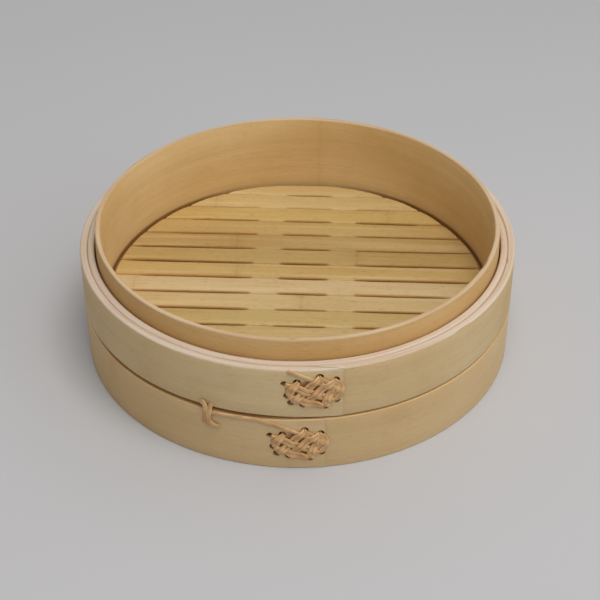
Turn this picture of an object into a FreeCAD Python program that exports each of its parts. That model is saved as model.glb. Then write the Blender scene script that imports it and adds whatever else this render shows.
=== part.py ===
import FreeCAD, Part
import math
import os
import Sketcher
from FreeCAD import Placement, Rotation, Vector

# A single open tier of a bamboo steamer.
#
# A tall inner hoop carries the food. Two stacked bands, each of two bent plies, stand round it and
# end below its top edge, so the hoop's bare edge plugs into the foot of the next tier up. A slatted
# floor lies on two crossbars, which sit in notches in a ring inside the hoop. Each band's ends meet
# in a slanted scarf on the front side, and a cane lashing is laced through both plies over it.
#
# Millimetres. +Z is up, z = 0 is the foot, the Z axis is the basket's axis, -Y is the lashed front.

SIZES = {
    # walls
    "outer_diameter": 254.0,
    "band_ply": 4.2,
    "lower_band_height": 35.7,
    "upper_band_height": 32.8,
    "seam_gap": 0.8,
    "edge_bevel": 0.8,
    "scarf_angle": 12.0,
    "scarf_gap": 0.2,
    # inner hoop, and how tiers plug together
    "hoop_ply": 3.6,
    "hoop_gap": 0.7,
    "spigot_rise": 11.8,
    "spigot_ease": 0.6,
    "socket_depth": 13.5,
    "socket_ease": 0.6,
    "nest_clearance": 0.3,
    # floor
    "floor_height": 32.2,
    "floor_clearance": 2.6,
    "floor_turn": -3.0,
    "slat_count": 15.0,
    "back_slat_share": 0.8,
    "front_slat_share": 0.44,
    "slat_thickness": 3.0,
    "slat_joint": 0.25,
    "slot_width": 2.2,
    "slot_end_margin": 14.0,
    "crossbar_width": 15.0,
    "crossbar_depth": 8.0,
    "crossbar_spacing": 46.2,
    "crossbar_shift": 2.9,
    "crossbar_play": 0.2,
    "crossbar_round": 2.5,
    "ring_ply": 6.0,
    # pegs through the floor ring
    "peg_count": 6.0,
    "peg_radius": 1.5,
    "peg_bite": 3.0,
    # cane lashings
    "cane_width": 2.4,
    "cane_thickness": 0.9,
    "cane_play": 0.1,
    "stitch_radius": 1.2,
    "lacing_depth": 0.6,
    "lacing_half_width": 15.6,
    "lacing_half_height": 11.0,
    "upper_lashing_turn": 3.25,
    "lower_lashing_turn": -0.3,
    "upper_lashing_lift": 1.4,
    "lower_lashing_lift": -0.65,
    "tie_turn": -21.3,
    "tie_width": 3.2,
    "tie_drop": 10.0,
    "tie_rise": 2.6,
}

# Derived sizes, as formulas of the sheet's cells.
D = "Dimensions."
WALL_RADIUS = f"{D}outer_diameter / 2"
PLY_RADIUS = f"({WALL_RADIUS} - {D}band_ply)"
BAND_INNER = f"({WALL_RADIUS} - 2 * {D}band_ply)"
SOCKET_RADIUS = f"({BAND_INNER} + {D}socket_ease)"
HOOP_OUTER = f"({BAND_INNER} - {D}hoop_gap)"
LACING_RADIUS = f"({SOCKET_RADIUS} + {D}lacing_depth)"
SPIGOT_RADIUS = f"({HOOP_OUTER} - {D}spigot_ease)"
HOOP_INNER = f"({HOOP_OUTER} - {D}hoop_ply)"
RING_INNER = f"({HOOP_INNER} - {D}ring_ply)"
FLOOR_RADIUS = f"({HOOP_INNER} - {D}floor_clearance)"
SEAM_HEIGHT = f"{D}lower_band_height"
WALL_TOP = f"({SEAM_HEIGHT} + {D}upper_band_height)"
HOOP_TOP = f"({WALL_TOP} + {D}spigot_rise)"
HOOP_BOTTOM = f"({D}socket_depth + {D}nest_clearance)"
FLOOR_BOTTOM = f"({D}floor_height - {D}slat_thickness)"
CROSSBAR_BOTTOM = f"({FLOOR_BOTTOM} - {D}crossbar_depth)"
PEG_HEIGHT = f"(({HOOP_BOTTOM} + {CROSSBAR_BOTTOM}) / 2)"
PEG_END = f"({BAND_INNER} + {D}peg_bite)"
UPPER_LASHING_HEIGHT = f"({SEAM_HEIGHT} + {D}upper_band_height / 2 + {D}upper_lashing_lift)"
LOWER_LASHING_HEIGHT = f"({SEAM_HEIGHT} / 2 + {D}lower_lashing_lift)"
SLAT_PITCH = (f"(2 * {FLOOR_RADIUS} / ({D}slat_count - 2"
              f" + {D}back_slat_share + {D}front_slat_share))")

# Where each strip's ends meet, as degrees round from the front.
HOOP_SCARF = 80.0
RING_SCARF = 135.0
INNER_PLY_SCARF = 180.0

# The lacing's holes: millimetres to the right of the lashing's centre, and above it.
HOLES = {
    "start": (-11.0, 13.0),
    "right": (12.6, 2.0),
    "low_right": (6.4, -9.2),
    "left": (-12.2, -2.0),
    "high_left": (-7.4, 6.6),
    "far_left": (-14.0, 5.6),
    "far_right": (12.1, -5.6),
    "high_right": (11.8, 7.2),
    "low_middle": (-4.4, -7.6),
    "low_left": (-10.4, -6.4),
    "top": (3.8, 9.6),
}
OUTSIDE_RUNS = (("start", "right"), ("low_right", "right"), ("low_right", "left"), ("high_left", "left"),
                ("far_left", "far_right"), ("high_right", "low_middle"), ("low_left", "top"))
INSIDE_RUNS = (("right", "low_right"), ("left", "high_left"), ("left", "far_left"),
               ("far_right", "high_right"), ("low_middle", "low_left"))

doc = FreeCAD.newDocument("steamer_tier")
sheet = doc.addObject("Spreadsheet::Sheet", "Dimensions")
for row, (alias, size) in enumerate(SIZES.items(), start=1):
    sheet.set(f"A{row}", alias)
    sheet.set(f"B{row}", str(size))
    sheet.setAlias(f"B{row}", alias)
doc.recompute()


def value(formula):
    """The number that a formula of the sheet's cells stands for."""
    return float(sheet.evalExpression(formula))


def upright_sketch(body, name, role="XZ_Plane", turn=None):
    """An empty sketch on one of the body's origin planes, turned about Z by a formula's degrees."""
    sketch = body.newObject("Sketcher::SketchObject", name)
    plane = next(item for item in body.Origin.OriginFeatures if item.Role == role)
    sketch.AttachmentSupport = [(plane, "")]
    sketch.MapMode = "FlatFace"
    if turn is not None:
        sketch.AttachmentOffset = Placement(Vector(), Rotation(Vector(0, 1, 0), value(turn)))
    return sketch


def bind(sketch, kind, geometry, point, formula):
    """Hold one coordinate of a sketch point at a formula's value."""
    size = value(formula)
    index = sketch.addConstraint(Sketcher.Constraint(kind, -1, 1, geometry, point, size))
    sketch.setExpression(f"Constraints[{index}]", formula)


def draw_outline(sketch, corners):
    """A closed outline of straight lines, each corner held by two formulas."""
    points = [Vector(value(across), value(up), 0) for across, up in corners]
    count = len(points)
    for i in range(count):
        sketch.addGeometry(Part.LineSegment(points[i], points[(i + 1) % count]), False)
    for i in range(count):
        sketch.addConstraint(Sketcher.Constraint("Coincident", i, 2, (i + 1) % count, 1))
    for i, (across, up) in enumerate(corners):
        bind(sketch, "DistanceX", i, 1, across)
        bind(sketch, "DistanceY", i, 1, up)


def rectangle(low_across, low_up, high_across, high_up):
    return [(low_across, low_up), (high_across, low_up), (high_across, high_up), (low_across, high_up)]


def bent_strip(label, profile):
    """A strip bent into a hoop: its section turned about the basket's axis."""
    body = doc.addObject("PartDesign::Body", label)
    body.Label = label
    sketch = upright_sketch(body, f"{label}_section")
    draw_outline(sketch, profile)
    turned = body.newObject("PartDesign::Revolution", f"{label}_turned")
    turned.Profile = sketch
    turned.ReferenceAxis = (sketch, ["V_Axis"])
    turned.Angle = 360
    doc.recompute()
    return body


def soften_edges(body, edges):
    """Bevel the circular edges at the given radii and heights."""
    base = body.Tip
    names = []
    for number, edge in enumerate(base.Shape.Edges, start=1):
        if not isinstance(edge.Curve, Part.Circle):
            continue
        for radius, height in edges:
            at_radius = abs(edge.Curve.Radius - value(radius)) < 0.01
            if at_radius and abs(edge.Curve.Center.z - value(height)) < 0.01:
                names.append(f"Edge{number}")
    bevel = body.newObject("PartDesign::Chamfer", f"{body.Name}_edges")
    bevel.Base = (base, names)
    bevel.setExpression("Size", f"{D}edge_bevel")
    doc.recompute()


def cut_scarf(body, mid_radius, ply, place):
    """Part the hoop with a thin slanted cut, so that its two tapered ends meet.

    place is degrees round from the front. The cut crosses the ply at scarf_angle to its surface.
    """
    slant = math.radians(value(f"{D}scarf_angle"))
    reach = value(ply) / math.sin(slant) + value(ply)
    half_gap = value(f"{D}scarf_gap") / 2
    along = Vector(math.cos(slant), -math.sin(slant), 0)
    across = Vector(along.y, -along.x, 0)
    middle = Vector(0, -value(mid_radius), 0)
    corners = []
    for end, side in ((-1, -1), (1, -1), (1, 1), (-1, 1)):
        corner = middle + along * (end * reach / 2) + across * (side * half_gap)
        corners.append(Rotation(Vector(0, 0, 1), place).multVec(corner))
    sketch = body.newObject("Sketcher::SketchObject", f"{body.Name}_scarf_line")
    plane = next(item for item in body.Origin.OriginFeatures if item.Role == "XY_Plane")
    sketch.AttachmentSupport = [(plane, "")]
    sketch.MapMode = "FlatFace"
    for i in range(4):
        sketch.addGeometry(Part.LineSegment(corners[i], corners[(i + 1) % 4]), False)
    for i in range(4):
        sketch.addConstraint(Sketcher.Constraint("Coincident", i, 2, (i + 1) % 4, 1))
    cut = body.newObject("PartDesign::Pocket", f"{body.Name}_scarf")
    cut.Profile = sketch
    cut.Type = "ThroughAll"
    cut.Midplane = True
    doc.recompute()


def drill_stitches(body, height, turn):
    """The lacing's holes, square to the wall at the lashing's centre."""
    sketch = upright_sketch(body, f"{body.Name}_stitch_marks", turn=turn)
    for i, (right, up) in enumerate(HOLES.values()):
        centre = Vector(right, value(height) + up, 0)
        sketch.addGeometry(Part.Circle(centre, Vector(0, 0, 1), value(f"{D}stitch_radius")), False)
        bind(sketch, "DistanceX", i, 3, f"{right}")
        bind(sketch, "DistanceY", i, 3, f"{height} + {up}")
        index = sketch.addConstraint(Sketcher.Constraint("Radius", i, value(f"{D}stitch_radius")))
        sketch.setExpression(f"Constraints[{index}]", f"{D}stitch_radius")
    cut = body.newObject("PartDesign::Pocket", f"{body.Name}_stitch_holes")
    cut.Profile = sketch
    cut.Type = "Length"
    cut.setExpression("Length", f"{D}outer_diameter")
    cut.Reversed = True
    doc.recompute()


def recess_lacing(body, height, turn):
    """A shallow recess in the inner face, where the lacing's inside runs lie below the surface."""
    sketch = upright_sketch(body, f"{body.Name}_recess_section", turn=f"{turn} - 90")
    bottom_of_recess = f"({LACING_RADIUS} + {D}cane_thickness)"
    low = f"({height} - {D}lacing_half_height)"
    high = f"({height} + {D}lacing_half_height)"
    draw_outline(sketch, rectangle(RING_INNER, low, bottom_of_recess, high))
    cut = body.newObject("PartDesign::Groove", f"{body.Name}_recess")
    cut.Profile = sketch
    cut.ReferenceAxis = (sketch, ["V_Axis"])
    cut.Midplane = True
    cut.setExpression("Angle", f"2 * {D}lacing_half_width / {BAND_INNER} * 180 / pi")
    doc.recompute()


def drill_pegs(body):
    """The peg holes, one drilled along +X and the rest patterned round the axis."""
    sketch = upright_sketch(body, f"{body.Name}_peg_mark", role="YZ_Plane")
    radius = value(f"{D}peg_radius")
    sketch.addGeometry(Part.Circle(Vector(0, value(PEG_HEIGHT), 0), Vector(0, 0, 1), radius), False)
    sketch.addConstraint(Sketcher.Constraint("PointOnObject", 0, 3, -2))
    bind(sketch, "DistanceY", 0, 3, PEG_HEIGHT)
    index = sketch.addConstraint(Sketcher.Constraint("Radius", 0, radius))
    sketch.setExpression(f"Constraints[{index}]", f"{D}peg_radius")
    hole = body.newObject("PartDesign::Pocket", f"{body.Name}_peg_hole")
    hole.Profile = sketch
    hole.Type = "Length"
    hole.setExpression("Length", PEG_END)
    hole.Reversed = True
    doc.recompute()
    pattern = body.newObject("PartDesign::PolarPattern", f"{body.Name}_peg_holes")
    pattern.Originals = [hole]
    axis = next(item for item in body.Origin.OriginFeatures if item.Role == "Z_Axis")
    pattern.Axis = (axis, [""])
    pattern.Angle = 360
    pattern.Occurrences = int(value(f"{D}peg_count"))
    body.Tip = pattern
    doc.recompute()


def make_inner_hoop():
    profile = [(HOOP_INNER, HOOP_BOTTOM), (HOOP_OUTER, HOOP_BOTTOM), (HOOP_OUTER, WALL_TOP),
               (SPIGOT_RADIUS, WALL_TOP), (SPIGOT_RADIUS, HOOP_TOP), (HOOP_INNER, HOOP_TOP)]
    body = bent_strip("inner_hoop", profile)
    soften_edges(body, [(HOOP_INNER, HOOP_TOP), (SPIGOT_RADIUS, HOOP_TOP)])
    cut_scarf(body, f"({HOOP_INNER} + {D}hoop_ply / 2)", f"{D}hoop_ply", HOOP_SCARF)
    drill_pegs(body)
    return body


def make_upper_band():
    """The two plies of the upper band."""
    turn = f"{D}upper_lashing_turn"
    outer = bent_strip("upper_outer_ply", rectangle(PLY_RADIUS, SEAM_HEIGHT, WALL_RADIUS, WALL_TOP))
    soften_edges(outer, [(WALL_RADIUS, SEAM_HEIGHT), (WALL_RADIUS, WALL_TOP), (PLY_RADIUS, WALL_TOP)])
    cut_scarf(outer, f"({WALL_RADIUS} - {D}band_ply / 2)", f"{D}band_ply", value(turn))
    inner = bent_strip("upper_inner_ply", rectangle(BAND_INNER, SEAM_HEIGHT, PLY_RADIUS, WALL_TOP))
    soften_edges(inner, [(BAND_INNER, WALL_TOP), (PLY_RADIUS, WALL_TOP)])
    cut_scarf(inner, f"({PLY_RADIUS} - {D}band_ply / 2)", f"{D}band_ply", INNER_PLY_SCARF)
    recess_lacing(inner, UPPER_LASHING_HEIGHT, turn)
    for body in (outer, inner):
        drill_stitches(body, UPPER_LASHING_HEIGHT, turn)
    return [outer, inner]


def make_lower_band():
    """The two plies of the lower band. The outer one stops short of the seam by seam_gap."""
    turn = f"{D}lower_lashing_turn"
    top = f"({SEAM_HEIGHT} - {D}seam_gap)"
    outer = bent_strip("lower_outer_ply", rectangle(PLY_RADIUS, "0", WALL_RADIUS, top))
    soften_edges(outer, [(WALL_RADIUS, "0"), (WALL_RADIUS, top)])
    cut_scarf(outer, f"({WALL_RADIUS} - {D}band_ply / 2)", f"{D}band_ply", value(turn))
    step = f"{D}socket_depth"
    profile = [(SOCKET_RADIUS, "0"), (PLY_RADIUS, "0"), (PLY_RADIUS, SEAM_HEIGHT),
               (BAND_INNER, SEAM_HEIGHT), (BAND_INNER, step), (SOCKET_RADIUS, step)]
    inner = bent_strip("lower_inner_ply", profile)
    cut_scarf(inner, f"({PLY_RADIUS} - {D}band_ply / 2)", f"{D}band_ply", INNER_PLY_SCARF)
    recess_lacing(inner, LOWER_LASHING_HEIGHT, turn)
    for body in (outer, inner):
        drill_stitches(body, LOWER_LASHING_HEIGHT, turn)
    drill_pegs(inner)
    return [outer, inner]


def crossbar_place(side):
    """How far a crossbar's middle is from the floor's centre line."""
    return f"({D}crossbar_shift + {side} * {D}crossbar_spacing / 2)"


def make_floor_ring():
    """The ring that carries the floor, notched for the crossbars."""
    body = bent_strip("floor_ring", rectangle(RING_INNER, HOOP_BOTTOM, HOOP_INNER, FLOOR_BOTTOM))
    cut_scarf(body, f"({RING_INNER} + {D}ring_ply / 2)", f"{D}ring_ply", RING_SCARF)
    for side, name in ((-1, "left"), (1, "right")):
        sketch = upright_sketch(body, f"{name}_notch_section", turn=f"{D}floor_turn")
        half = f"({D}crossbar_width / 2 + {D}crossbar_play)"
        low = f"({crossbar_place(side)} - {half})"
        high = f"({crossbar_place(side)} + {half})"
        draw_outline(sketch, rectangle(low, CROSSBAR_BOTTOM, high, f"({FLOOR_BOTTOM} + 1)"))
        notch = body.newObject("PartDesign::Pocket", f"{name}_notch")
        notch.Profile = sketch
        notch.Type = "ThroughAll"
        notch.Midplane = True
        doc.recompute()
    drill_pegs(body)
    return body


def turn_with_floor(piece):
    """Lay a piece that was drawn square into the floor's own direction."""
    piece.Placement = Placement(Vector(), Rotation(Vector(0, 0, 1), value(f"{D}floor_turn")))


def make_crossbar(side, name):
    """A split-bamboo bar, flat on top and round underneath, as long as the hoop lets its corners be."""
    label = f"crossbar_{name}"
    body = doc.addObject("PartDesign::Body", label)
    body.Label = label
    sketch = upright_sketch(body, f"{label}_section")
    low = f"({crossbar_place(side)} - {D}crossbar_width / 2)"
    high = f"({crossbar_place(side)} + {D}crossbar_width / 2)"
    draw_outline(sketch, rectangle(low, CROSSBAR_BOTTOM, high, FLOOR_BOTTOM))
    bar = body.newObject("PartDesign::Pad", f"{label}_bar")
    bar.Profile = sketch
    bar.Midplane = True
    corner = f"({side} * {crossbar_place(side)} + {D}crossbar_width / 2)"
    room = f"({HOOP_INNER} - {D}crossbar_play)"
    bar.setExpression("Length", f"2 * sqrt({room} * {room} - {corner} * {corner})")
    doc.recompute()
    under = []
    for number, edge in enumerate(bar.Shape.Edges, start=1):
        lies_along = abs(edge.Vertexes[0].Point.y - edge.Vertexes[-1].Point.y) > 1
        if lies_along and abs(edge.CenterOfMass.z - value(CROSSBAR_BOTTOM)) < 0.01:
            under.append(f"Edge{number}")
    rounded = body.newObject("PartDesign::Fillet", f"{label}_under")
    rounded.Base = (bar, under)
    rounded.setExpression("Radius", f"{D}crossbar_round")
    doc.recompute()
    turn_with_floor(body)
    return body


def bound_box(name, sizes, corner):
    """A Part::Box whose three sizes and lowest corner are formulas."""
    box = doc.addObject("Part::Box", name)
    for side, formula in zip(("Length", "Width", "Height"), sizes):
        box.setExpression(side, formula)
    for axis, formula in zip("xyz", corner):
        box.setExpression(f"Placement.Base.{axis}", formula)
    return box


def slot_spans(line):
    """Where the slots lie along one joint of the floor, as (low, high) across the basket."""
    radius = value(FLOOR_RADIUS)
    inside = value(f"({HOOP_INNER} - {D}slot_end_margin)")
    clear = value(f"{D}crossbar_width") / 2
    left = value(crossbar_place(-1))
    right = value(crossbar_place(1))
    spans = []
    if abs(line) < radius - value(f"{D}crossbar_depth"):
        spans.append((left + clear, right - clear))
    if abs(line) < inside:
        reach = math.sqrt(inside ** 2 - line ** 2)
        spans.append((-reach, left - clear))
        spans.append((right + clear, reach))
    shortest = 2 * value(f"{D}slot_width")
    return [span for span in spans if span[1] - span[0] > shortest]


def make_slats():
    """The floor: strips cut to a disc, their edges cut back into slots between the crossbars."""
    disc = doc.addObject("Part::Cylinder", "floor_disc")
    disc.setExpression("Radius", FLOOR_RADIUS)
    disc.setExpression("Height", f"{D}slat_thickness")
    disc.setExpression("Placement.Base.z", FLOOR_BOTTOM)
    count = int(value(f"{D}slat_count"))
    joints = [f"({FLOOR_RADIUS} - ({number} + {D}back_slat_share) * {SLAT_PITCH})"
              for number in range(count - 1)]
    slots = []
    for number, joint in enumerate(joints, start=1):
        for part, (low, high) in enumerate(slot_spans(value(joint)), start=1):
            name = f"slot_{number:02d}_{part}"
            sizes = (f"{high - low}", f"{D}slot_width", f"{D}slat_thickness")
            corner = (f"{low}", f"{joint} - {D}slot_width / 2", FLOOR_BOTTOM)
            slots.append(bound_box(name, sizes, corner))
    slot_set = doc.addObject("Part::MultiFuse", "slot_set")
    slot_set.Shapes = slots
    doc.recompute()
    edges = [FLOOR_RADIUS] + joints + [f"(-{FLOOR_RADIUS})"]
    slats = []
    for number in range(1, count + 1):
        back = edges[number - 1]
        front = edges[number]
        width = f"{back} - {front} - {D}slat_joint"
        corner = (f"-{FLOOR_RADIUS}", f"{front} + {D}slat_joint / 2", FLOOR_BOTTOM)
        strip = bound_box(f"strip_{number:02d}", (f"2 * {FLOOR_RADIUS}", width, f"{D}slat_thickness"), corner)
        trimmed = doc.addObject("Part::Common", f"trimmed_{number:02d}")
        trimmed.Base = strip
        trimmed.Tool = disc
        slat = doc.addObject("Part::Cut", f"slat_{number:02d}")
        slat.Label = f"slat_{number:02d}"
        slat.Base = trimmed
        slat.Tool = slot_set
        turn_with_floor(slat)
        slats.append(slat)
    doc.recompute()
    return slats


def make_pegs():
    """Bamboo pegs driven outwards through the floor ring and hoop into the lower band."""
    pegs = []
    count = int(value(f"{D}peg_count"))
    for number in range(count):
        peg = doc.addObject("Part::Cylinder", f"peg_{number + 1}")
        peg.setExpression("Radius", f"{D}peg_radius")
        peg.setExpression("Height", f"{PEG_END} - {RING_INNER}")
        round_axis = Rotation(Vector(0, 0, 1), 360 * number / count)
        foot = round_axis.multVec(Vector(value(RING_INNER), 0, value(PEG_HEIGHT)))
        peg.Placement = Placement(foot, round_axis.multiply(Rotation(Vector(0, 1, 0), 90)))
        pegs.append(peg)
    group = doc.addObject("Part::Compound", "ring_pegs")
    group.Label = "ring_pegs"
    group.Links = pegs
    doc.recompute()
    return group


def shell(inner, outer):
    """A tall tube about the basket's axis, which bends flat runs of cane to the wall."""
    height = value(HOOP_TOP)
    tube = Part.makeCylinder(outer, 2 * height, Vector(0, 0, -height / 2))
    return tube.cut(Part.makeCylinder(inner, 2 * height, Vector(0, 0, -height / 2)))


def flat_run(start, end, width):
    """A straight run of cane seen from the front, thick enough to cross the whole wall."""
    start = Vector(start[0], 0, start[1])
    end = Vector(end[0], 0, end[1])
    length = (end - start).Length
    run = Part.makeBox(length + width, value(WALL_RADIUS), width, Vector(-width / 2, 0, -width / 2))
    slope = math.degrees(math.atan2(end.z - start.z, end.x - start.x))
    run.rotate(Vector(), Vector(0, 1, 0), -slope)
    run.translate(start - Vector(0, 1.5 * value(WALL_RADIUS), 0))
    return run


def make_lashing(label, height, turn, tail):
    """One cane laced through the stitch holes of a band, with an optional tail on the outside."""
    wall = value(WALL_RADIUS)
    cane = value(f"{D}cane_thickness")
    recess = value(LACING_RADIUS)
    width = value(f"{D}cane_width")
    outside = shell(wall, wall + cane)
    inside = shell(recess, recess + cane)
    through = shell(recess, wall + cane)
    centre = value(height)

    def hole(name):
        right, up = HOLES[name]
        return right, centre + up

    pieces = [flat_run(hole(a), hole(b), width).common(outside) for a, b in OUTSIDE_RUNS]
    # Inside the wall the cane is drawn in to the hole's size, so it stays within the recess.
    narrow = 2 * value(f"{D}stitch_radius")
    pieces += [flat_run(hole(a), hole(b), narrow).common(inside) for a, b in INSIDE_RUNS]
    radius = value(f"{D}stitch_radius") - value(f"{D}cane_play")
    for name in HOLES:
        right, up = hole(name)
        post = Part.makeCylinder(radius, wall, Vector(right, -wall / 2, up), Vector(0, -1, 0))
        pieces.append(post.common(through))
    pieces += [run.common(outside) for run in tail]
    lashing = doc.addObject("Part::Feature", label)
    lashing.Label = label
    lashing.Shape = pieces[0].fuse(pieces[1:]).removeSplitter()
    lashing.Placement = Placement(Vector(), Rotation(Vector(0, 0, 1), value(turn)))
    doc.recompute()
    return lashing


def seam_tail():
    """The lower lashing's spare end: up to the seam, along it to the left, and tied over the edge."""
    width = value(f"{D}cane_width")
    seam = value(SEAM_HEIGHT) - value(f"{D}seam_gap") / 2
    start = (HOLES["start"][0], value(LOWER_LASHING_HEIGHT) + HOLES["start"][1])
    meets_seam = (start[0] - 2.5 * width, seam)
    round_wall = math.radians(value(f"{D}tie_turn") - value(f"{D}lower_lashing_turn"))
    tie = value(WALL_RADIUS) * math.sin(round_wall)
    knot_low = (tie, seam - value(f"{D}tie_drop"))
    knot_high = (tie, seam + value(f"{D}tie_rise"))
    return [flat_run(start, meets_seam, width),
            flat_run(meets_seam, (tie, seam), width / 2),
            flat_run(knot_low, knot_high, value(f"{D}tie_width"))]


nodes = [make_inner_hoop()]
nodes += make_upper_band()
nodes += make_lower_band()
nodes.append(make_floor_ring())
nodes.append(make_crossbar(-1, "left"))
nodes.append(make_crossbar(1, "right"))
nodes += make_slats()
nodes.append(make_pegs())
nodes.append(make_lashing("upper_lashing", UPPER_LASHING_HEIGHT, f"{D}upper_lashing_turn", []))
nodes.append(make_lashing("lower_lashing", LOWER_LASHING_HEIGHT, f"{D}lower_lashing_turn", seam_tail()))
doc.recompute()

for item in doc.Objects:
    for state in ("Invalid", "Error"):
        if state in item.State:
            raise RuntimeError(f"{item.Name} failed: {item.State}")
os.makedirs("parts", exist_ok=True)
for node in nodes:
    if node.Shape.isNull() or not node.Shape.isValid():
        raise RuntimeError(f"{node.Label} has no valid shape")
    node.Shape.exportStep(f"parts/{node.Label}.step")
    print(node.Label, len(node.Shape.Solids), "solid(s)", round(node.Shape.Volume), "mm3")
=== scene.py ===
import math

import bmesh
import bpy
from bpy.props import FloatProperty, FloatVectorProperty, IntProperty, PointerProperty
from mathutils import Matrix, Vector


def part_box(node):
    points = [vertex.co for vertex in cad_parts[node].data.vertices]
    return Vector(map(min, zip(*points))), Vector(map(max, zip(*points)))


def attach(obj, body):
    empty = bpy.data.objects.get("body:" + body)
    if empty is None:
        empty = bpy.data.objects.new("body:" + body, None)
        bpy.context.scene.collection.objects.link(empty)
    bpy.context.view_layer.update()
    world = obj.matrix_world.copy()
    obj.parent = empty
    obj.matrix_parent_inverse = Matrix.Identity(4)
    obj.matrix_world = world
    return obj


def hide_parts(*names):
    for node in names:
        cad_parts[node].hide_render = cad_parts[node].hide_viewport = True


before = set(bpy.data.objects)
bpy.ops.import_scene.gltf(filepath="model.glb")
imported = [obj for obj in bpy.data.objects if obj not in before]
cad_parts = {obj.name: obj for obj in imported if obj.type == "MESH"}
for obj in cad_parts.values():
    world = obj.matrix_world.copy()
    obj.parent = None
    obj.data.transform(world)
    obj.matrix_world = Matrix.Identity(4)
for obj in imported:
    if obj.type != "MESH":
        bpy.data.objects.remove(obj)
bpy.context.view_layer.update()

bl_info = {
    "name": "Bamboo Steamer Tier",
    "version": (1, 0, 0),
    "blender": (4, 5, 0),
    "location": "3D View > Sidebar > Steamer",
    "description": "Builds one open tier of a bamboo steamer: bent hoops, slatted floor and cane lashings",
    "category": "Object",
}

MM = 0.001

# Sizes read from the frame, in metres.
WALL_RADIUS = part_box("upper_outer_ply")[1].x
PLY_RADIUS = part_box("upper_inner_ply")[1].x
HOOP_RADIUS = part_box("inner_hoop")[1].x
WALL_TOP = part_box("upper_outer_ply")[1].z
SEAM_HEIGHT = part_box("upper_outer_ply")[0].z
HOOP_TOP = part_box("inner_hoop")[1].z
HOOP_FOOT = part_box("inner_hoop")[0].z
FLOOR_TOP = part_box("slat_08")[1].z
FLOOR_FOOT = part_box("slat_08")[0].z
PLY = WALL_RADIUS - PLY_RADIUS
# The two ends of a bent strip are cut to this slant, so that they lie over each other in a scarf.
SCARF_SLANT = math.radians(12)

# How the lacing runs: millimetres right of the lashing's centre and above it.
HOLES = {
    "right": (12.6, 2.0),
    "low_right": (6.4, -9.2),
    "left": (-12.2, -2.0),
    "high_left": (-7.4, 6.6),
    "far_left": (-13.6, 5.4),
    "far_right": (12.1, -5.6),
    "high_right": (11.8, 7.2),
    "low_middle": (-4.4, -7.6),
    "low_left": (-10.4, -6.4),
    "top": (3.8, 9.6),
}
FALLING_STRANDS = (
    ("far_left", (-6.0, 2.6), (3.0, -1.6), "far_right"),
    ("left", (-3.5, -5.6), "low_right"),
    ("top", (8.4, 4.8), "right"),
)
RISING_STRANDS = (
    ("left", (-10.6, 3.2), "high_left"),
    ("low_left", (-5.0, -0.6), (0.5, 6.2), "top"),
    ("low_middle", (0.6, -2.2), (6.2, 3.4), "high_right"),
    ("low_right", (10.6, -4.6), (14.2, 0.2), (14.4, 4.4), "high_right"),
    ("low_right", (8.8, -2.0), "right"),
)
UPPER_START = ((-12.6, 14.8), (-7.0, 12.2), (0.0, 8.6), (6.4, 5.2), (11.6, 3.6), (14.8, 0.4), (14.6, -3.4),
               "far_right")
LOWER_START = ((-46.6, 15.6), (-38.0, 16.4), (-28.0, 16.7), (-20.0, 16.4), (-13.6, 14.6), (-7.0, 11.9),
               (0.0, 8.4), (6.4, 5.2), (11.6, 3.6), (14.8, 0.4), (14.6, -3.4), "far_right")
TIE_STRANDS = (
    ((-52.8, 20.6), (-51.6, 22.4), (-50.3, 21.0), (-49.8, 16.0), (-50.3, 11.6), (-51.2, 7.8)),
    ((-46.2, 22.0), (-47.3, 20.2), (-47.9, 15.8), (-48.3, 11.2), (-48.5, 6.8)),
    ((-48.4, 9.8), (-45.8, 8.5), (-42.4, 7.0)),
)

# The cane pulls against the inner side of its hole, so the hole is punched this much further out.
HOLE_SPREAD = 1.07

# Steam slots along each joint of the floor, back to front: how deep the left, middle and right ones are
# cut, and how far out the left and right ones reach, all in millimetres. Each of a joint's two slats is
# cut back by CUT_SHARE of that depth. A slot that reaches past the floor's edge is open there.
CUT_SHARE = 0.28
SLOT_PARTS = ("Left", "Middle", "Right", "Left Reach", "Right Reach")
SLOTS = (
    (0.3, 2.6, 0.3, 30, 40),
    (0.5, 0.8, 0.6, 60, 60),
    (1.7, 2.0, 2.5, 73, 74),
    (1.0, 1.5, 1.6, 84, 104),
    (2.3, 1.8, 1.3, 104, 106),
    (2.5, 2.6, 1.5, 108, 108),
    (2.2, 2.4, 2.6, 97, 103),
    (2.2, 2.3, 2.2, 99, 90),
    (2.4, 1.3, 2.4, 96, 92),
    (2.2, 1.3, 1.8, 74, 70),
    (2.0, 2.0, 2.0, 80, 78),
    (2.0, 1.8, 2.0, 70, 68),
    (1.8, 2.0, 1.8, 52, 52),
    (0.3, 1.8, 0.3, 30, 30),
)


# ---------------------------------------------------------------- node trees


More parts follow.
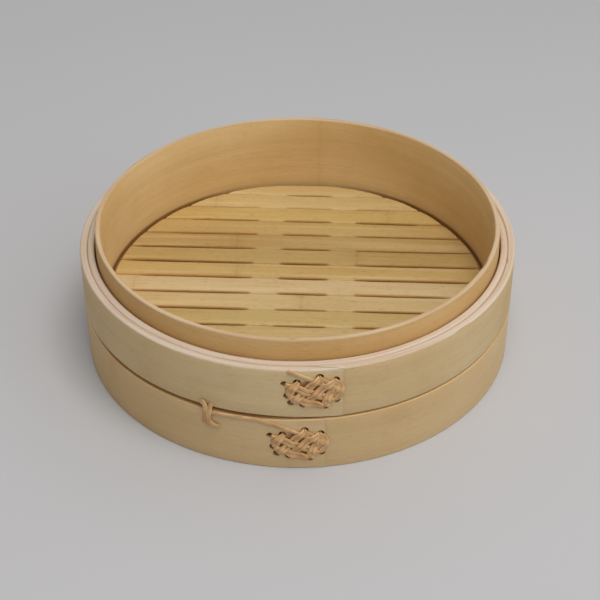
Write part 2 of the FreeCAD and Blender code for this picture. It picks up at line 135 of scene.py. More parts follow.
class Wire:
    """A socket in a node tree, which sums, products and other maths can be written with."""

    def __init__(self, graph, socket):
        self.graph = graph
        self.socket = socket

    def work(self, operation, *values):
        vector = any(isinstance(v, (tuple, Vector)) or isinstance(v, Wire) and v.socket.type == "VECTOR"
                     for v in values)
        kind = "ShaderNodeVectorMath" if vector else "ShaderNodeMath"
        return self.graph.node(kind, {"operation": operation}, values)

    def __add__(self, other):
        return self.work("ADD", self, other)

    def __radd__(self, other):
        return self.work("ADD", other, self)

    def __sub__(self, other):
        return self.work("SUBTRACT", self, other)

    def __rsub__(self, other):
        return self.work("SUBTRACT", other, self)

    def __mul__(self, other):
        return self.work("MULTIPLY", self, other)

    def __rmul__(self, other):
        return self.work("MULTIPLY", other, self)

    def __truediv__(self, other):
        return self.work("DIVIDE", self, other)

    def __rtruediv__(self, other):
        return self.work("DIVIDE", other, self)

    def __pow__(self, other):
        return self.work("POWER", self, other)

    def __neg__(self):
        return self.work("MULTIPLY", self, -1.0)

    def __abs__(self):
        return self.work("ABSOLUTE", self)

    def at_most(self, other):
        return self.work("MINIMUM", self, other)

    def at_least(self, other):
        return self.work("MAXIMUM", self, other)

    def ramp(self, low, high, start=0.0, end=1.0, smooth=True):
        """Goes from start to end while this value goes from low to high."""
        settings = {"interpolation_type": "SMOOTHSTEP" if smooth else "LINEAR"}
        return self.graph.node("ShaderNodeMapRange", settings, (self, low, high, start, end))

    def parts(self):
        """The X, Y and Z of a vector."""
        node = self.graph.node("ShaderNodeSeparateXYZ", {}, (self,)).socket.node
        return [Wire(self.graph, out) for out in node.outputs]


class Graph:
    """Adds nodes to one shader or geometry tree."""

    def __init__(self, tree):
        self.tree = tree

    def node(self, kind, settings=None, values=(), output=0):
        """A node of that type: its settings, then values or links for its sockets, in order or by name."""
        node = self.tree.nodes.new(kind)
        for name, setting in (settings or {}).items():
            if name == "stops":
                self.fill_ramp(node.color_ramp, setting)
            else:
                setattr(node, name, setting)
        shown = [socket for socket in node.inputs if socket.enabled]
        pairs = values.items() if isinstance(values, dict) else enumerate(values)
        for key, given in pairs:
            if isinstance(key, int):
                socket = shown[key]
            else:
                socket = next(s for s in shown if key in (s.identifier, s.name))
            if isinstance(given, Wire):
                self.tree.links.new(given.socket, socket)
            elif given is not None:
                socket.default_value = given
        outputs = [socket for socket in node.outputs if socket.enabled]
        if isinstance(output, str):
            found = next(s for s in outputs if output in (s.identifier, s.name))
        else:
            found = outputs[output] if outputs else None
        return Wire(self, found)

    def fill_ramp(self, ramp, stops):
        while len(ramp.elements) < len(stops):
            ramp.elements.new(0.5)
        for element, (place, colour) in zip(ramp.elements, stops):
            element.position = place
            element.color = (*colour, 1.0)

    def place(self):
        """Where a point of the piece is, in the basket's own frame."""
        return self.node("ShaderNodeTexCoord", {}, output="Object")

    def xyz(self, x, y, z):
        return self.node("ShaderNodeCombineXYZ", {}, (x, y, z))

    def noise(self, place, scale=1.0, detail=2.0, roughness=0.5):
        """Smooth noise from 0 to 1, mostly near 0.5."""
        return self.node("ShaderNodeTexNoise", {"noise_dimensions": "3D"},
                         {"Vector": place, "Scale": scale, "Detail": detail, "Roughness": roughness})

    def mix(self, share, first, second):
        """first where share is 0 and second where it is 1, as colours."""
        return self.node("ShaderNodeMix", {"data_type": "RGBA"},
                         {"Factor_Float": share, "A_Color": as_colour(first), "B_Color": as_colour(second)})

    def darken(self, share, colour, shade):
        """colour multiplied by shade where share is 1."""
        return self.node("ShaderNodeMix", {"data_type": "RGBA", "blend_type": "MULTIPLY"},
                         {"Factor_Float": share, "A_Color": as_colour(colour), "B_Color": as_colour(shade)})


def as_colour(given):
    return given if isinstance(given, Wire) else (*given, 1.0)


def paint(red, green, blue):
    """A screen colour of 0 to 255 as the linear one that shaders take."""
    return tuple((c / 255 / 12.92) if c / 255 <= 0.04045 else ((c / 255 + 0.055) / 1.055) ** 2.4
                 for c in (red, green, blue))


# ---------------------------------------------------------------- materials


def finish_material(graph, colour, roughness, height, bump_depth, coat=0.0):
    """Ends a wood material in one shader. height is in millimetres of bump."""
    bump = graph.node("ShaderNodeBump", {}, {"Strength": 1.0, "Distance": bump_depth, "Height": height})
    shader = graph.node("ShaderNodeBsdfPrincipled", {}, {
        "Base Color": colour, "Roughness": roughness, "Normal": bump,
        "Specular IOR Level": 0.35, "Coat Weight": coat, "Coat Roughness": 0.35})
    graph.node("ShaderNodeOutputMaterial", {}, {"Surface": shader})


def new_material(name):
    material = bpy.data.materials.new(name)
    material.use_nodes = True
    material.node_tree.nodes.clear()
    return material, Graph(material.node_tree)


def bamboo_fibres(graph, along, across, depth, seed):
    """Streaks, fibres and flecks that run the way the strip does, as values near 0 to 1."""
    broad = graph.noise(graph.xyz(along * 5.0 + seed, across * 190.0, depth * 60.0), 1.0, 3.0)
    streaks = graph.noise(graph.xyz(along * 14.0 + seed, across * 900.0, depth * 300.0), 1.0, 3.0, 0.6)
    fine = graph.noise(graph.xyz(along * 60.0 + seed, across * 3200.0, depth * 1500.0), 1.0, 2.0, 0.6)
    mottle = graph.noise(graph.xyz(along * 32.0, across * 40.0 + seed, depth * 30.0), 1.0, 3.0, 0.55)
    flecks = graph.noise(graph.xyz(along * 190.0, across * 2600.0 + seed, depth * 900.0), 1.0, 1.0)
    return broad, streaks, fine, mottle, flecks.ramp(0.66, 0.76)


def strip_bamboo(name, pale, warm, dark, scarf_degrees, seed, rim=None, stain_and_shade=None, node_places=(),
                 inside=None, seam_shade=None):
    """Bamboo bent round the basket. Its pattern goes round from the scarf, along the strip.

    node_places are metres along from the side opposite the scarf, with how strongly each bamboo node shows.
    rim is a height and the two colours of the cut edge there. stain is a list of angle, height, half width,
    half height and tint of a brown patch round a lashing, water-stained by the soaked cane and darkened as
    painted shade in the cells between its strands. inside is the inner face's radius, a tint for all but that
    face, and the tint of a line painted where the floor's rim meets that face: partly steam staining, partly
    painted shade of the gap there. grime is the height of a seam, deep in which painted shade darkens the wall.
    """
    material, graph = new_material(name)
    x, y, z = graph.place().parts()
    turn = math.radians(scarf_degrees)
    forward = x * math.sin(turn) - y * math.cos(turn)
    sideways = x * math.cos(turn) + y * math.sin(turn)
    radius = graph.node("ShaderNodeVectorMath", {"operation": "LENGTH"}, (graph.xyz(x, y, 0.0),))
    # The angle is measured from the side opposite the scarf, so that it jumps only at the scarf.
    angle = sideways.work("ARCTAN2", -sideways, -forward)
    along = angle * WALL_RADIUS
    broad, streaks, fine, mottle, flecks = bamboo_fibres(graph, along, z, radius, seed)
    clouds = graph.noise(graph.xyz(along * 9.0, z * 14.0 + seed, radius * 20.0), 1.0, 2.0)
    colour = graph.mix(clouds.ramp(0.32, 0.68) * 0.7 + broad.ramp(0.3, 0.72) * 0.3, pale, warm)
    colour = graph.mix(streaks.ramp(0.46, 0.8) * 0.55, colour, warm)
    colour = graph.darken(mottle.ramp(0.5, 0.78) * 0.45, colour, (0.88, 0.82, 0.72))
    colour = graph.darken(fine.ramp(0.52, 0.8) * 0.55, colour, (0.80, 0.72, 0.60))
    colour = graph.mix(flecks * 0.3, colour, dark)
    height = fine * 0.5 + streaks * 0.6 + flecks * -0.3
    for place_along, strength in node_places:
        wander = graph.noise(graph.xyz(z * 120.0, along * 20.0, seed), 1.0, 2.0) * 0.006
        off = abs(along - place_along + wander - 0.003)
        line = off.ramp(0.0004, 0.0016, 1.0, 0.0)
        halo = off.ramp(0.001, 0.011, 1.0, 0.0)
        colour = graph.darken(line * strength + halo * (0.45 * strength), colour, (0.74, 0.62, 0.48))
        height = height + line * (1.2 * strength)
    if inside is not None:
        # The inner face is the strip's pith side. A brown line is painted on it where the floor's rim sits, on
        # the left and right: partly steam staining, partly painted shade of the gap between the floor and the
        # wall.
        inner_radius, outer_tint, line_tint = inside
        inner = radius.ramp(inner_radius + 0.2 * MM, inner_radius + 1.0 * MM, 1.0, 0.0)
        colour = graph.darken(1.0 - inner, colour, outer_tint)
        wander = graph.noise(graph.xyz(along * 30.0, seed, 0.0), 1.0, 2.0) * 1.2 * MM
        line = (z + wander).ramp(FLOOR_TOP - 0.2 * MM, FLOOR_TOP + 1.5 * MM, 1.0, 0.0) * inner
        colour = graph.darken(line * abs(x).ramp(0.02, 0.075), colour, line_tint)
    # A brown patch round each lashing: water-stained wood under the soaked cane, and painted shade in the cells
    # between its strands.
    if stain_and_shade is not None:
        for stain_angle, stain_height, half_width, half_height, tint in stain_and_shade:
            sx = WALL_RADIUS * math.cos(stain_angle)
            sy = WALL_RADIUS * math.sin(stain_angle)
            right = (x - sx) * -math.sin(stain_angle) + (y - sy) * math.cos(stain_angle)
            up = z - stain_height
            wobble = graph.noise(graph.xyz(right * 300.0, up * 300.0, seed), 1.0, 2.0) * 0.9
            off = (right / half_width) ** 2.0 + (up / half_height) ** 2.0 + wobble - 0.45
            same_side = (x * math.cos(stain_angle) + y * math.sin(stain_angle)).ramp(0.0, 0.05)
            colour = graph.darken(off.ramp(0.45, 1.05, 1.0, 0.0) * same_side, colour, tint)
    if seam_shade is not None:
        # Painted shade: the wall is darkened deep in the seam, where the gap between the bands lies in shade.
        deep = radius.ramp(WALL_RADIUS - 1.5 * MM, WALL_RADIUS - 0.6 * MM, 1.0, 0.0)
        near_seam = abs(z - seam_shade).ramp(1.2 * MM, 2.6 * MM, 1.0, 0.0)
        colour = graph.darken(deep * near_seam, colour, (0.95, 0.72, 0.42))
    if rim is not None:
        rim_height, rim_pale, rim_warm = rim
        rim_share = z.ramp(rim_height - 1.1 * MM, rim_height - 0.45 * MM)
        pores = graph.noise(graph.xyz(along * 500.0, radius * 1400.0, seed), 1.0, 2.0)
        layers = graph.noise(graph.xyz(along * 12.0, radius * 420.0, seed), 1.0, 2.0)
        rim_colour = graph.mix(layers.ramp(0.38, 0.66), rim_pale, rim_warm)
        rim_colour = graph.darken(pores.ramp(0.56, 0.74) * 0.4, rim_colour, (0.74, 0.62, 0.5))
        marks = graph.noise(graph.xyz(along * 26.0, radius * 120.0, seed + 7.0), 1.0, 1.0).ramp(0.71, 0.75)
        rim_colour = graph.darken(marks * 0.8, rim_colour, (0.62, 0.46, 0.36))
        colour = graph.mix(rim_share, colour, rim_colour)
    roughness = 0.5 + fine * 0.16 + mottle * 0.08
    finish_material(graph, colour, roughness, height, 0.00022)
    return material


def floor_bamboo(name, turn, pitch, first_joint, bars, bar_half):
    """Split bamboo slats. Each takes its own tone, by its place across the floor."""
    material, graph = new_material(name)
    x, y, z = graph.place().parts()
    along = x * math.cos(turn) + y * math.sin(turn)
    across = y * math.cos(turn) - x * math.sin(turn)
    number = (first_joint - across) / pitch + 1.0
    number = number.work("FLOOR", number)
    steps = 16.0
    share = (number + 0.5) / steps
    tones = [(0.00, (203, 175, 118)), (1.00, (202, 174, 117)), (2.00, (198, 167, 102)), (3.00, (190, 158, 98)),
             (4.00, (182, 150, 94)), (5.00, (181, 150, 91)), (6.00, (193, 161, 100)), (7.00, (204, 177, 130)),
             (8.00, (200, 172, 120)), (9.00, (191, 163, 105)), (10.0, (195, 168, 114)), (11.0, (202, 174, 122)),
             (12.0, (190, 160, 102)), (13.0, (198, 172, 116)), (14.0, (194, 164, 106))]
    stops = [(slat / steps, paint(*colour)) for slat, colour in tones]
    tone = graph.node("ShaderNodeValToRGB", {"stops": stops}, (share,))
    tone.socket.node.color_ramp.interpolation = "CONSTANT"
    offset = number * 3.7
    broad, streaks, fine, _, flecks = bamboo_fibres(graph, along + offset, across, z, 2.0)
    patch = graph.noise(graph.xyz(along * 11.0 + offset, across * 60.0, number), 1.0, 2.0)
    colour = graph.darken(patch.ramp(0.42, 0.7) * 0.5, tone, (0.86, 0.78, 0.64))
    colour = graph.mix(broad.ramp(0.5, 0.25) * 0.3, colour, paint(232, 204, 156))
    colour = graph.darken(streaks.ramp(0.5, 0.8) * 0.5, colour, (0.80, 0.68, 0.52))
    colour = graph.darken(fine.ramp(0.5, 0.8) * 0.45, colour, (0.76, 0.66, 0.52))
    colour = graph.mix(flecks * 0.35, colour, paint(128, 88, 44))
    # A bamboo node crosses each slat somewhere different.
    node_at = graph.node("ShaderNodeTexWhiteNoise", {"noise_dimensions": "1D"}, (number + 4.3,)) * 0.26 - 0.13
    wander = graph.noise(graph.xyz(across * 400.0, number, 0.0), 1.0, 2.0) * 0.004
    off = abs(along - node_at + wander)
    line = off.ramp(0.0003, 0.0013, 1.0, 0.0)
    halo = off.ramp(0.001, 0.008, 1.0, 0.0)
    colour = graph.darken(line * 0.14 + halo * 0.12, colour, (0.66, 0.52, 0.38))
    # Cut edges and undersides are painted darker and rougher than the planed top, except where slats touch on a
    # bar: partly the cut fibre's own colour, partly painted shade in the slots and in the gap at the floor's
    # edge. The backmost slats get less of it.
    under = z.ramp(FLOOR_TOP - 0.75 * MM, FLOOR_TOP - 0.22 * MM, 1.0, 0.0)
    under = under * (first_joint - across).ramp(0.5 * pitch, 1.7 * pitch, 0.3, 1.0)
    for bar in bars:
        under = under * abs(along - bar).ramp(bar_half - 1.0 * MM, bar_half + 2.0 * MM)
    colour = graph.darken(under * 0.9, colour, (0.74, 0.54, 0.33))
    height = fine * 0.6 + streaks * 0.9 + line * 0.5 - flecks * 0.5
    roughness = 0.46 + fine * 0.2 + under * 0.15
    finish_material(graph, colour, roughness, height, 0.00025)
    return material


def hidden_bamboo(name, turn, tone, dark, seed):
    """Rough split bamboo for the bars that nobody sees from above, with its grain along the bars."""
    material, graph = new_material(name)
    x, y, z = graph.place().parts()
    across = x * math.cos(turn) + y * math.sin(turn)
    along = y * math.cos(turn) - x * math.sin(turn)
    broad, streaks, fine, _, flecks = bamboo_fibres(graph, along + seed, across, z, seed)
    colour = graph.mix(broad.ramp(0.35, 0.7), tone, dark)
    colour = graph.darken(streaks.ramp(0.48, 0.8) * 0.6, colour, (0.72, 0.60, 0.44))
    colour = graph.darken(fine.ramp(0.5, 0.8) * 0.4, colour, (0.72, 0.6, 0.46))
    colour = graph.mix(flecks * 0.4, colour, paint(110, 74, 38))
    finish_material(graph, colour, 0.5 + fine * 0.2, fine * 0.6 + streaks * 0.9, 0.0003)
    return material


def peg_bamboo():
    """Whittled pegs, with pores on their cut ends."""
    material, graph = new_material("peg bamboo")
    place = graph.place()
    pores = graph.noise(place, 1800.0, 2.0)
    blotch = graph.noise(place, 260.0, 2.0)
    colour = graph.mix(blotch.ramp(0.35, 0.65), paint(196, 158, 104), paint(168, 126, 74))
    colour = graph.darken(pores.ramp(0.55, 0.7) * 0.7, colour, (0.6, 0.48, 0.36))
    finish_material(graph, colour, 0.55 + pores * 0.2, pores, 0.0002)
    return material


def cane_material():
    """Peeled cane: a satin skin with fine lines along it, and pale and orange lengths."""
    material, graph = new_material("cane")
    grain = graph.node("ShaderNodeAttribute", {"attribute_name": "grain"}, output="Vector")
    along, around, strand = grain.parts()
    lines = graph.noise(graph.xyz(along * 90.0, around * 14.0, strand * 5.1), 1.0, 2.0, 0.6)
    lengths = graph.noise(graph.xyz(along * 110.0, around * 1.2, strand * 9.7), 1.0, 2.0)
    spots = graph.noise(graph.xyz(along * 700.0, around * 6.0, strand * 3.3), 1.0, 2.0)
    colour = graph.mix(lengths.ramp(0.34, 0.66), paint(222, 188, 138), paint(198, 152, 98))
    tint = graph.node("ShaderNodeTexWhiteNoise", {"noise_dimensions": "1D"}, (strand * 1.31,))
    colour = graph.mix(tint * 0.35, colour, paint(200, 146, 100))
    colour = graph.darken(lines.ramp(0.46, 0.7) * 0.75, colour, (0.66, 0.5, 0.34))
    colour = graph.darken(spots.ramp(0.6, 0.75) * 0.4, colour, (0.7, 0.52, 0.38))
    finish_material(graph, colour, 0.42 + lines * 0.2, lines * 0.6 + spots * 0.25, 0.00018, 0.08)
    return material


def studio_paper(colour):
    """Matt grey paper under the basket."""
    material, graph = new_material("studio paper")
    place = graph.place()
    tooth = graph.noise(place, 900.0, 3.0)
    clouds = graph.noise(place, 2.2, 2.0)
    shade = graph.mix(clouds.ramp(0.3, 0.7) * 0.5, tuple(colour), tuple(c * 0.965 for c in colour))
    finish_material(graph, shade, 0.9 + tooth * 0.05, tooth, 0.00004)
    return material


# ---------------------------------------------------------------- geometry trees


def new_tree(name, inputs):
    """A geometry tree with named inputs. Returns its graph and its inputs as wires."""
    tree = bpy.data.node_groups.new(name, "GeometryNodeTree")
    kinds = {float: "NodeSocketFloat", int: "NodeSocketInt", "geometry": "NodeSocketGeometry",
             "material": "NodeSocketMaterial"}
    for label, kind in inputs:
        tree.interface.new_socket(label, in_out="INPUT", socket_type=kinds[kind])
    tree.interface.new_socket("Geometry", in_out="OUTPUT", socket_type="NodeSocketGeometry")
    graph = Graph(tree)
    group = tree.nodes.new("NodeGroupInput")
    return graph, {label: Wire(graph, group.outputs[label]) for label, _ in inputs}


def end_tree(graph, geometry, material):
    """Every tree ends the same way: nothing instanced, everything painted."""
    whole = graph.node("GeometryNodeRealizeInstances", {}, (geometry,))
    painted = graph.node("GeometryNodeSetMaterial", {}, {"Geometry": whole, "Material": material})
    graph.node("NodeGroupOutput", {}, (painted,))
    return graph.tree


def rounded_section(graph, width, height, rounding, corner_points, cuts):
    """A closed section: a rectangle with rounded corners, its sides divided for bending."""
    section = graph.node("GeometryNodeCurvePrimitiveQuadrilateral", {}, (width, height))
    section = graph.node("GeometryNodeFilletCurve", {"mode": "POLY"},
                         {"Curve": section, "Count": corner_points, "Radius": rounding})
    return graph.node("GeometryNodeSubdivideCurve", {}, (section, cuts))


def straight_line(graph, start, end, stations):
    """A line along X, divided into stations."""
    line = graph.node("GeometryNodeCurvePrimitiveLine", {}, {
        "Start": graph.xyz(start, 0.0, 0.0), "End": graph.xyz(end, 0.0, 0.0)})
    return graph.node("GeometryNodeResampleCurve", {"mode": "COUNT"}, {"Curve": line, "Count": stations})


def swept_bar(graph, section, stations, start, end):
    """The section drawn along X from start to end, closed at both ends."""
    line = straight_line(graph, start, end, stations)
    return graph.node("GeometryNodeCurveToMesh", {}, {
        "Curve": line, "Profile Curve": section, "Fill Caps": True})


def bent_strip_tree():
    """A strip bent into a hoop with slanted, tapered ends that meet at the scarf."""
    inputs = [("Middle Radius", float), ("Ply", float), ("Bottom", float), ("Top", float), ("Rounding", float),
              ("Scarf Angle", float), ("Scarf Slant", float), ("Scarf Gap", float), ("End Lift", float),
              ("Edge Wobble", float), ("Bend Wobble", float), ("Top Dip", float), ("Foot Lift", float),
              ("Step Height", float), ("Step", float), ("Stations", int), ("Seed", float),
              ("Material", "material")]
    graph, given = new_tree("Bent strip", inputs)
    section = rounded_section(graph, given["Ply"], given["Top"] - given["Bottom"], given["Rounding"], 3, 3)
    bar = swept_bar(graph, section, given["Stations"], 0.0, 1.0)
    share, thick, up = graph.node("GeometryNodeInputPosition").parts()
    sweep = 2 * math.pi - given["Scarf Gap"]
    slant = thick / given["Scarf Slant"].work("TANGENT", given["Scarf Slant"]) / given["Middle Radius"]
    angle = given["Scarf Angle"] + given["Scarf Gap"] / 2.0 + share * sweep + slant
    cosine = angle.work("COSINE", angle)
    sine = angle.work("SINE", angle)
    seed = given["Seed"]
    level = up / (given["Top"] - given["Bottom"]) + 0.5
    wave = graph.noise(graph.xyz(cosine * 2.2 + seed, sine * 2.2, level * 0.5), 1.0, 1.0) - 0.5
    top_wave = graph.noise(graph.xyz(cosine * 5.0, sine * 5.0 + seed, 0.3), 1.0, 2.0) - 0.5
    foot_wave = graph.noise(graph.xyz(cosine * 5.0, sine * 5.0 + seed, 9.3), 1.0, 2.0) - 0.5
    # The seam stands open on the left, in front and behind, and closes towards the right and the far left.
    left = cosine.ramp(-0.16, 0.16, 1.0, 0.0) * cosine.ramp(-0.95, -0.8, 0.0, 1.0)
    top = given["Top"] - given["Top Dip"] * left + top_wave * given["Edge Wobble"]
    off_ground = given["Bottom"].ramp(0.0, 0.001)
    foot = given["Bottom"] + given["Foot Lift"] * left + foot_wave * given["Edge Wobble"] * off_ground
    height = foot + level * (top - foot)
    lifted_length = 6 * MM
    near_end = (1.0 - share) * sweep * given["Middle Radius"] / lifted_length
    lift = given["End Lift"] * near_end.ramp(0.0, 1.0, 1.0, 0.0)
    radius = given["Middle Radius"] + thick + wave * given["Bend Wobble"] + lift
    # Above the step the outer face is planed back.
    above_step = height.ramp(given["Step Height"], given["Step Height"] + 0.6 * MM)
    radius = radius - given["Step"] * above_step * thick.ramp(0.0, given["Ply"] / 2.0)
    bent = graph.node("GeometryNodeSetPosition", {}, {"Geometry": bar, "Position": graph.xyz(
        radius * cosine, radius * sine, height)})
    return end_tree(graph, bent, given["Material"])


def slat_tree():
    """One slat: a split strip whose two edges are cut back into slots, its ends cut to the floor's disc."""
    inputs = [("Back", float), ("Front", float), ("Rim Cut", float), ("Joint", float), ("Top", float),
              ("Thickness", float), ("Rounding", float), ("Floor Radius", float), ("Turn", float),
              ("Bar Left", float), ("Bar Right", float), ("Bar Half", float), ("Stations", int),
              ("Seed", float)]
    for edge in ("Back", "Front"):
        inputs += [(f"{edge} {part}", float) for part in SLOT_PARTS]
    inputs.append(("Material", "material"))
    graph, given = new_tree("Slat", inputs)
    width = given["Back"] - given["Front"]
    section = rounded_section(graph, width, given["Thickness"], given["Rounding"], 4, 3)
    bar = swept_bar(graph, section, given["Stations"], -1.0, 1.0)
    share, across, up = graph.node("GeometryNodeInputPosition").parts()
    seed = given["Seed"]
    level = across / width + 0.5

    def half_chord(place):
        """How far the floor's rim is from its middle line at that place."""
        return (given["Floor Radius"] ** 2.0 - place * place).at_least(0.0) ** 0.5

    # A slat at the back or front ends where its longer edge meets the rim. Its other edge is the rim.
    near = abs(given["Back"]).at_most(abs(given["Front"]))
    along_level = half_chord(given["Front"] + level * width)
    x = share * (along_level + given["Rim Cut"] * (half_chord(near) - along_level))

    def slot(low, high, opening):
        """How far a slat is cut back for a slot with rounded ends, from low to high."""
        middle = (low + high) / 2.0
        half = ((high - low) / 2.0).at_least(0.001)
        off = abs((x - middle) / half).at_most(1.0)
        return opening * CUT_SHARE * (1.0 - off ** 5.0) ** 0.5

    def cut_back(edge, wave):
        left_end = given["Bar Left"] - given["Bar Half"]
        left_start = given["Bar Left"] + given["Bar Half"]
        right_end = given["Bar Right"] - given["Bar Half"]
        right_start = given["Bar Right"] + given["Bar Half"]
        depth = slot(-given[f"{edge} Left Reach"], left_end, given[f"{edge} Left"])
        depth = depth + slot(left_start, right_end, given[f"{edge} Middle"])
        depth = depth + slot(right_start, given[f"{edge} Right Reach"], given[f"{edge} Right"])
        return depth * (1.0 + (wave - 0.5) * 0.7) + given["Joint"] / 2.0

    def edge_noise(edge, stretch, row, detail):
        """Noise along an edge. Two slats that meet at a joint get the same from the same row."""
        return graph.noise(graph.xyz(x * stretch, given[edge] * 900.0, row), 1.0, detail)

    back_wave = edge_noise("Back", 18.0, 0.5, 2.0)
    front_wave = edge_noise("Front", 18.0, 7.5, 2.0)
    # Both slats at a joint bow the same way, so their edges keep together.
    back_bow = (edge_noise("Back", 9.0, 3.5, 1.0) - 0.5) * (1.6 * MM)
    front_bow = (edge_noise("Front", 9.0, 3.5, 1.0) - 0.5) * (1.6 * MM)
    back = given["Back"] - cut_back("Back", back_wave) + back_bow
    front = given["Front"] + cut_back("Front", front_wave) + front_bow
    cup = (graph.noise(graph.xyz(x * 14.0, level * 1.3, seed * 3.1), 1.0, 2.0) - 0.5) * (0.7 * MM)
    crown = (level - 0.5) * (level - 0.5) * (-1.6 * MM)
    lowered = (cup + crown) * up.ramp(0.0, given["Thickness"] / 2.0)
    rim = half_chord(x)
    y = (front + level * (back - front)).at_most(rim).at_least(-rim)
    cosine = given["Turn"].work("COSINE", given["Turn"])
    sine = given["Turn"].work("SINE", given["Turn"])
    turned_x = x * cosine - y * sine
    turned_y = x * sine + y * cosine
    laid = graph.node("GeometryNodeSetPosition", {}, {"Geometry": bar, "Position": graph.xyz(
        turned_x, turned_y, given["Top"] - given["Thickness"] / 2.0 + up + lowered)})
    return end_tree(graph, laid, given["Material"])


def cane_tree():
    """A strip of peeled cane that follows a line, flat side to the wall."""
    inputs = [("Path", "geometry"), ("Width", float), ("Thickness", float), ("Wobble", float), ("Seed", float),
              ("Material", "material")]
    graph, given = new_tree("Cane strand", inputs)
    curve = graph.node("GeometryNodeMeshToCurve", {}, (given["Path"],))
    facing = graph.node("GeometryNodeInputNamedAttribute", {"data_type": "FLOAT_VECTOR"}, {"Name": "facing"})
    curve = graph.node("GeometryNodeSetCurveNormal", {"mode": "FREE"}, {"Curve": curve, "Normal": facing})
    length = graph.node("GeometryNodeSplineParameter", {}, output="Length")
    wave = graph.noise(graph.xyz(length * 260.0, given["Seed"] * 3.3, 0.0), 1.0, 2.0) - 0.5
    size = 1.0 + wave * given["Wobble"]
    curve = graph.node("GeometryNodeStoreNamedAttribute", {"data_type": "FLOAT", "domain": "POINT"},
                       {"Geometry": curve, "Name": "run", "Value": length})
    section = graph.node("GeometryNodeCurvePrimitiveCircle", {"mode": "RADIUS"},
                         {"Resolution": 14, "Radius": 0.5})
    turn_share = graph.node("GeometryNodeSplineParameter", {}, output="Factor")
    section = graph.node("GeometryNodeStoreNamedAttribute", {"data_type": "FLOAT", "domain": "POINT"},
                         {"Geometry": section, "Name": "around", "Value": turn_share})
    section = graph.node("GeometryNodeTransform", {}, {"Geometry": section, "Scale": graph.xyz(
        given["Thickness"], given["Width"], 1.0)})
    strand = graph.node("GeometryNodeCurveToMesh", {}, {"Curve": curve, "Profile Curve": section, "Scale": size,
                                                        "Fill Caps": True})
    run = graph.node("GeometryNodeInputNamedAttribute", {"data_type": "FLOAT"}, {"Name": "run"})
    around = graph.node("GeometryNodeInputNamedAttribute", {"data_type": "FLOAT"}, {"Name": "around"})
    strand = graph.node("GeometryNodeStoreNamedAttribute", {"data_type": "FLOAT_VECTOR", "domain": "POINT"},
                        {"Geometry": strand, "Name": "grain", "Value": graph.xyz(run, around, given["Seed"])})
    strand = graph.node("GeometryNodeSetShadeSmooth", {}, {"Geometry": strand, "Shade Smooth": True})
    return end_tree(graph, strand, given["Material"])


def peg_tree():
    """Whittled pegs in a ring, pointing outwards."""
    inputs = [("Count", int), ("Start Radius", float), ("End Radius", float), ("Peg Radius", float),
              ("Height", float), ("Material", "material")]
    graph, given = new_tree("Ring of pegs", inputs)
    line = straight_line(graph, given["Start Radius"], given["End Radius"], 10)
    place = graph.node("GeometryNodeSplineParameter", {}, output="Factor")
    taper = place.ramp(0.0, 0.08, 0.86, 1.0) * place.ramp(0.5, 1.0, 1.0, 0.9)
    facets = graph.node("GeometryNodeCurvePrimitiveCircle", {"mode": "RADIUS"},
                        {"Resolution": 11, "Radius": given["Peg Radius"]})
    peg = graph.node("GeometryNodeCurveToMesh", {}, {"Curve": line, "Profile Curve": facets, "Scale": taper,
                                                     "Fill Caps": True})
    ring = graph.node("GeometryNodeMeshCircle", {"fill_type": "NONE"},
                      {"Vertices": given["Count"], "Radius": 1.0})
    index = graph.node("GeometryNodeInputIndex")
    turn = index * 2.0 * math.pi / given["Count"]
    points = graph.node("GeometryNodeSetPosition", {}, {"Geometry": ring, "Position": graph.xyz(
        0.0, 0.0, given["Height"])})
    pegs = graph.node("GeometryNodeInstanceOnPoints", {}, {"Points": points, "Instance": peg,
                                                           "Rotation": graph.xyz(0.0, 0.0, turn)})
    return end_tree(graph, pegs, given["Material"])


# ---------------------------------------------------------------- making and placing pieces


def grow(name, tree, values, start=None):
    """Runs a geometry tree and keeps its result as a plain mesh object, its place in its mesh."""
    holder = bpy.data.objects.new(name, start or bpy.data.meshes.new(name))
    bpy.context.scene.collection.objects.link(holder)
    modifier = holder.modifiers.new("tree", "NODES")
    modifier.node_group = tree
    for item in tree.interface.items_tree:
        if item.in_out == "INPUT" and item.name in values:
            modifier[item.identifier] = values[item.name]
    result = plain_mesh(holder)
    holder.modifiers.clear()
    holder.data = result
    result.name = name
    return holder


def plain_mesh(thing):
    bpy.context.view_layer.update()
    depsgraph = bpy.context.evaluated_depsgraph_get()
    return bpy.data.meshes.new_from_object(thing.evaluated_get(depsgraph), preserve_all_data_layers=True,
                                           depsgraph=depsgraph)


def face_outwards(piece, sharp_degrees=38.0):
    """Merges doubles, turns every face outwards and keeps only real corners sharp."""
    mesh = bmesh.new()
    mesh.from_mesh(piece.data)
    bmesh.ops.remove_doubles(mesh, verts=mesh.verts, dist=1e-6)
    bmesh.ops.dissolve_degenerate(mesh, edges=mesh.edges, dist=1e-6)
    bmesh.ops.recalc_face_normals(mesh, faces=mesh.faces)
    if mesh.calc_volume(signed=True) < 0:
        bmesh.ops.reverse_faces(mesh, faces=mesh.faces)
    for face in mesh.faces:
        face.smooth = True
    mesh.to_mesh(piece.data)
    mesh.free()
    piece.data.set_sharp_from_angle(angle=math.radians(sharp_degrees))


def settle(piece, slot, *nodes):
    """Hands a finished piece to the frame: it rides on the root and stands for its CAD nodes."""
    if len(piece.data.polygons) == 0:
        raise RuntimeError(f"{piece.name} came out empty")
    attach(piece, "root")
    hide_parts(*nodes)


